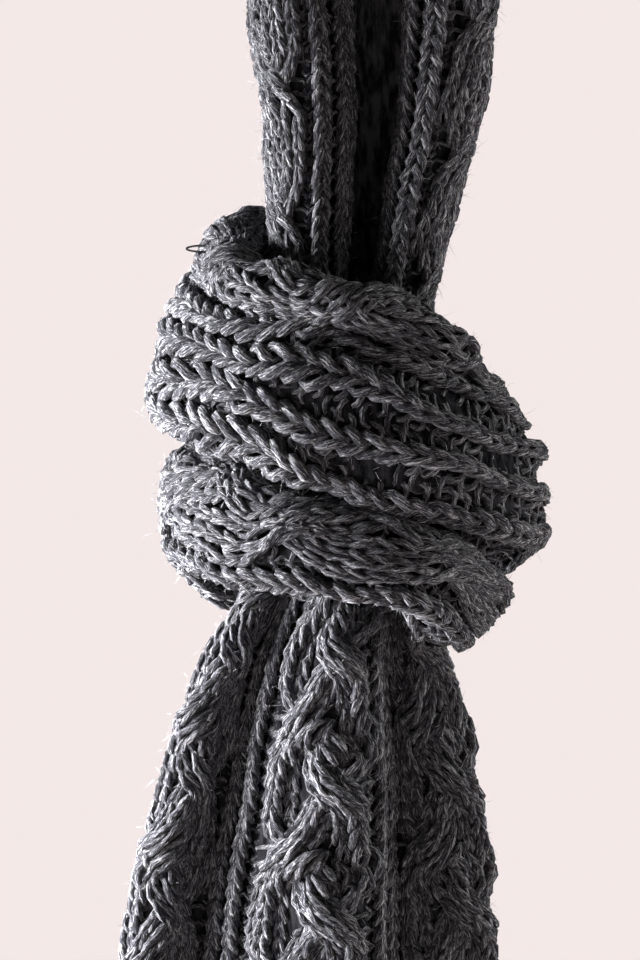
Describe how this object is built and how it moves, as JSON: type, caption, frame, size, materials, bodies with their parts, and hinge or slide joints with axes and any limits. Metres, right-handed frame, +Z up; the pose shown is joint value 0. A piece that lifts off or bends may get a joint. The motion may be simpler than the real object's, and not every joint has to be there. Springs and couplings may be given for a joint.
{
  "type": "knit scarf",
  "caption": "Cable-knit scarf held up by its gathered end, tied in one overhand knot with the tail hanging open below.",
  "frame": {"origin": "middle of the gathered end, where the scarf is held up", "axes": "+Z up along the hanging scarf, -Y towards the front of the knot, +X towards the side where the strip turns out of the knot"},
  "size_m": [0.1456, 0.1066, 0.9005],
  "materials": {
    "hanging_stretch": "matt charcoal marl knit",
    "wrap_lower": "matt charcoal marl knit",
    "wrap_back": "matt charcoal marl knit",
    "wrap_upper": "matt charcoal marl knit",
    "tail": "matt charcoal marl knit",
    "knot_core": "matt charcoal marl knit"
  },
  "bodies": {
    "root": {"hanging_stretch": "hanging_stretch", "wrap_lower": "wrap_lower", "wrap_back": "wrap_back", "wrap_upper": "wrap_upper", "tail": "tail", "knot_core": "knot_core"}
  },
  "joints": []
}
